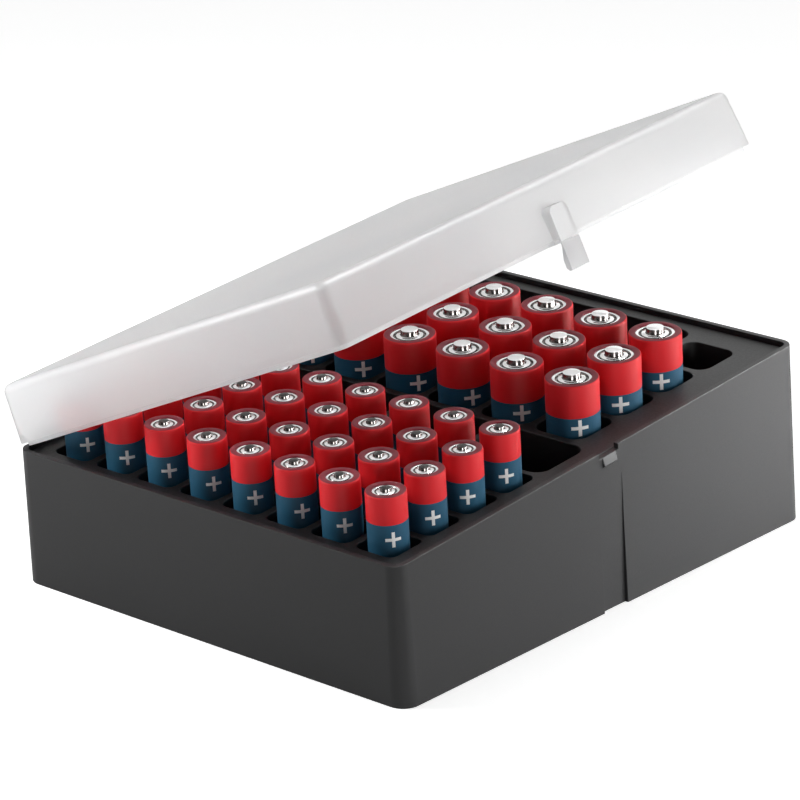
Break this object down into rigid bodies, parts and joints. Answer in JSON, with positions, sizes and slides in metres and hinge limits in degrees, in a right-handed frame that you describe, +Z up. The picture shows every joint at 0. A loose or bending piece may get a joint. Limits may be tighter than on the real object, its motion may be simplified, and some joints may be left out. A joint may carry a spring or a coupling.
{
  "type": "battery storage case",
  "caption": "Leaning tray of square and oblong battery slots and a trough in a black housing with a level bottom, under a hinged frosted lid with a snap latch, partly filled with cells.",
  "frame": {"origin": "on the resting plane, under the middle of the tray's rim measured square to the rim; it lies on the underside of the base plate", "axes": "+Z up from the resting plane, -Y towards the front with the latch, +X along the front to the right, where the rim is highest"},
  "size_m": [0.1805, 0.1379, 0.1217],
  "materials": {
    "housing_black": "fine matt texture",
    "tray_black": "satin",
    "lid_clear": "frosted, translucent",
    "steel": "bright",
    "cell_jacket": "glossy printed film, red over dark blue"
  },
  "bodies": {
    "case": {"case_shell": "housing_black", "cell_tray": "tray_black", "base_plate": "housing_black", "base_screws": "steel", "hinge_pin_left": "steel", "hinge_pin_right": "steel", "large_cell_1_1": "cell_jacket", "large_cell_1_2": "cell_jacket", "large_cell_1_3": "cell_jacket", "large_cell_1_4": "cell_jacket", "large_cell_1_5": "cell_jacket", "large_cell_1_6": "cell_jacket", "large_cell_2_1": "cell_jacket", "large_cell_2_2": "cell_jacket", "large_cell_2_3": "cell_jacket", "large_cell_2_4": "cell_jacket", "large_cell_2_5": "cell_jacket", "large_cell_2_6": "cell_jacket", "large_cell_3_1": "cell_jacket", "large_cell_3_2": "cell_jacket", "large_cell_3_3": "cell_jacket", "large_cell_3_4": "cell_jacket", "large_cell_3_5": "cell_jacket", "large_cell_3_6": "cell_jacket", "small_cell_1_1": "cell_jacket", "small_cell_1_2": "cell_jacket", "small_cell_1_3": "cell_jacket", "small_cell_1_4": "cell_jacket", "small_cell_1_5": "cell_jacket", "small_cell_1_6": "cell_jacket", "small_cell_1_7": "cell_jacket", "small_cell_1_8": "cell_jacket", "small_cell_2_1": "cell_jacket", "small_cell_2_2": "cell_jacket", "small_cell_2_3": "cell_jacket", "small_cell_2_4": "cell_jacket", "small_cell_2_5": "cell_jacket", "small_cell_2_6": "cell_jacket", "small_cell_2_7": "cell_jacket", "small_cell_2_8": "cell_jacket", "small_cell_3_1": "cell_jacket", "small_cell_3_2": "cell_jacket", "small_cell_3_3": "cell_jacket", "small_cell_3_4": "cell_jacket", "small_cell_3_5": "cell_jacket", "small_cell_3_6": "cell_jacket", "small_cell_3_7": "cell_jacket", "small_cell_3_8": "cell_jacket", "small_cell_4_1": "cell_jacket", "small_cell_4_2": "cell_jacket", "small_cell_4_3": "cell_jacket", "small_cell_4_4": "cell_jacket", "small_cell_4_5": "cell_jacket", "small_cell_4_6": "cell_jacket", "small_cell_4_7": "cell_jacket", "small_cell_4_8": "cell_jacket"},
    "lid": {"lid_shell": "lid_clear"},
    "latch": {"latch_tab": "lid_clear"}
  },
  "joints": [
    {"name": "lid_hinge", "type": "hinge", "parent": "case", "child": "lid", "pos_m": [-0.00379, 0.06675, 0.04563], "axis": [-0.9966, 0, -0.0828], "range_deg": [-25, 80]},
    {"name": "latch_flex", "type": "hinge", "parent": "lid", "child": "latch", "pos_m": [-0.00843, -0.05566, 0.10141], "axis": [-0.9966, 0, -0.0828], "range_deg": [0, 40], "stiffness_Nm_per_rad": 0.005}
  ]
}
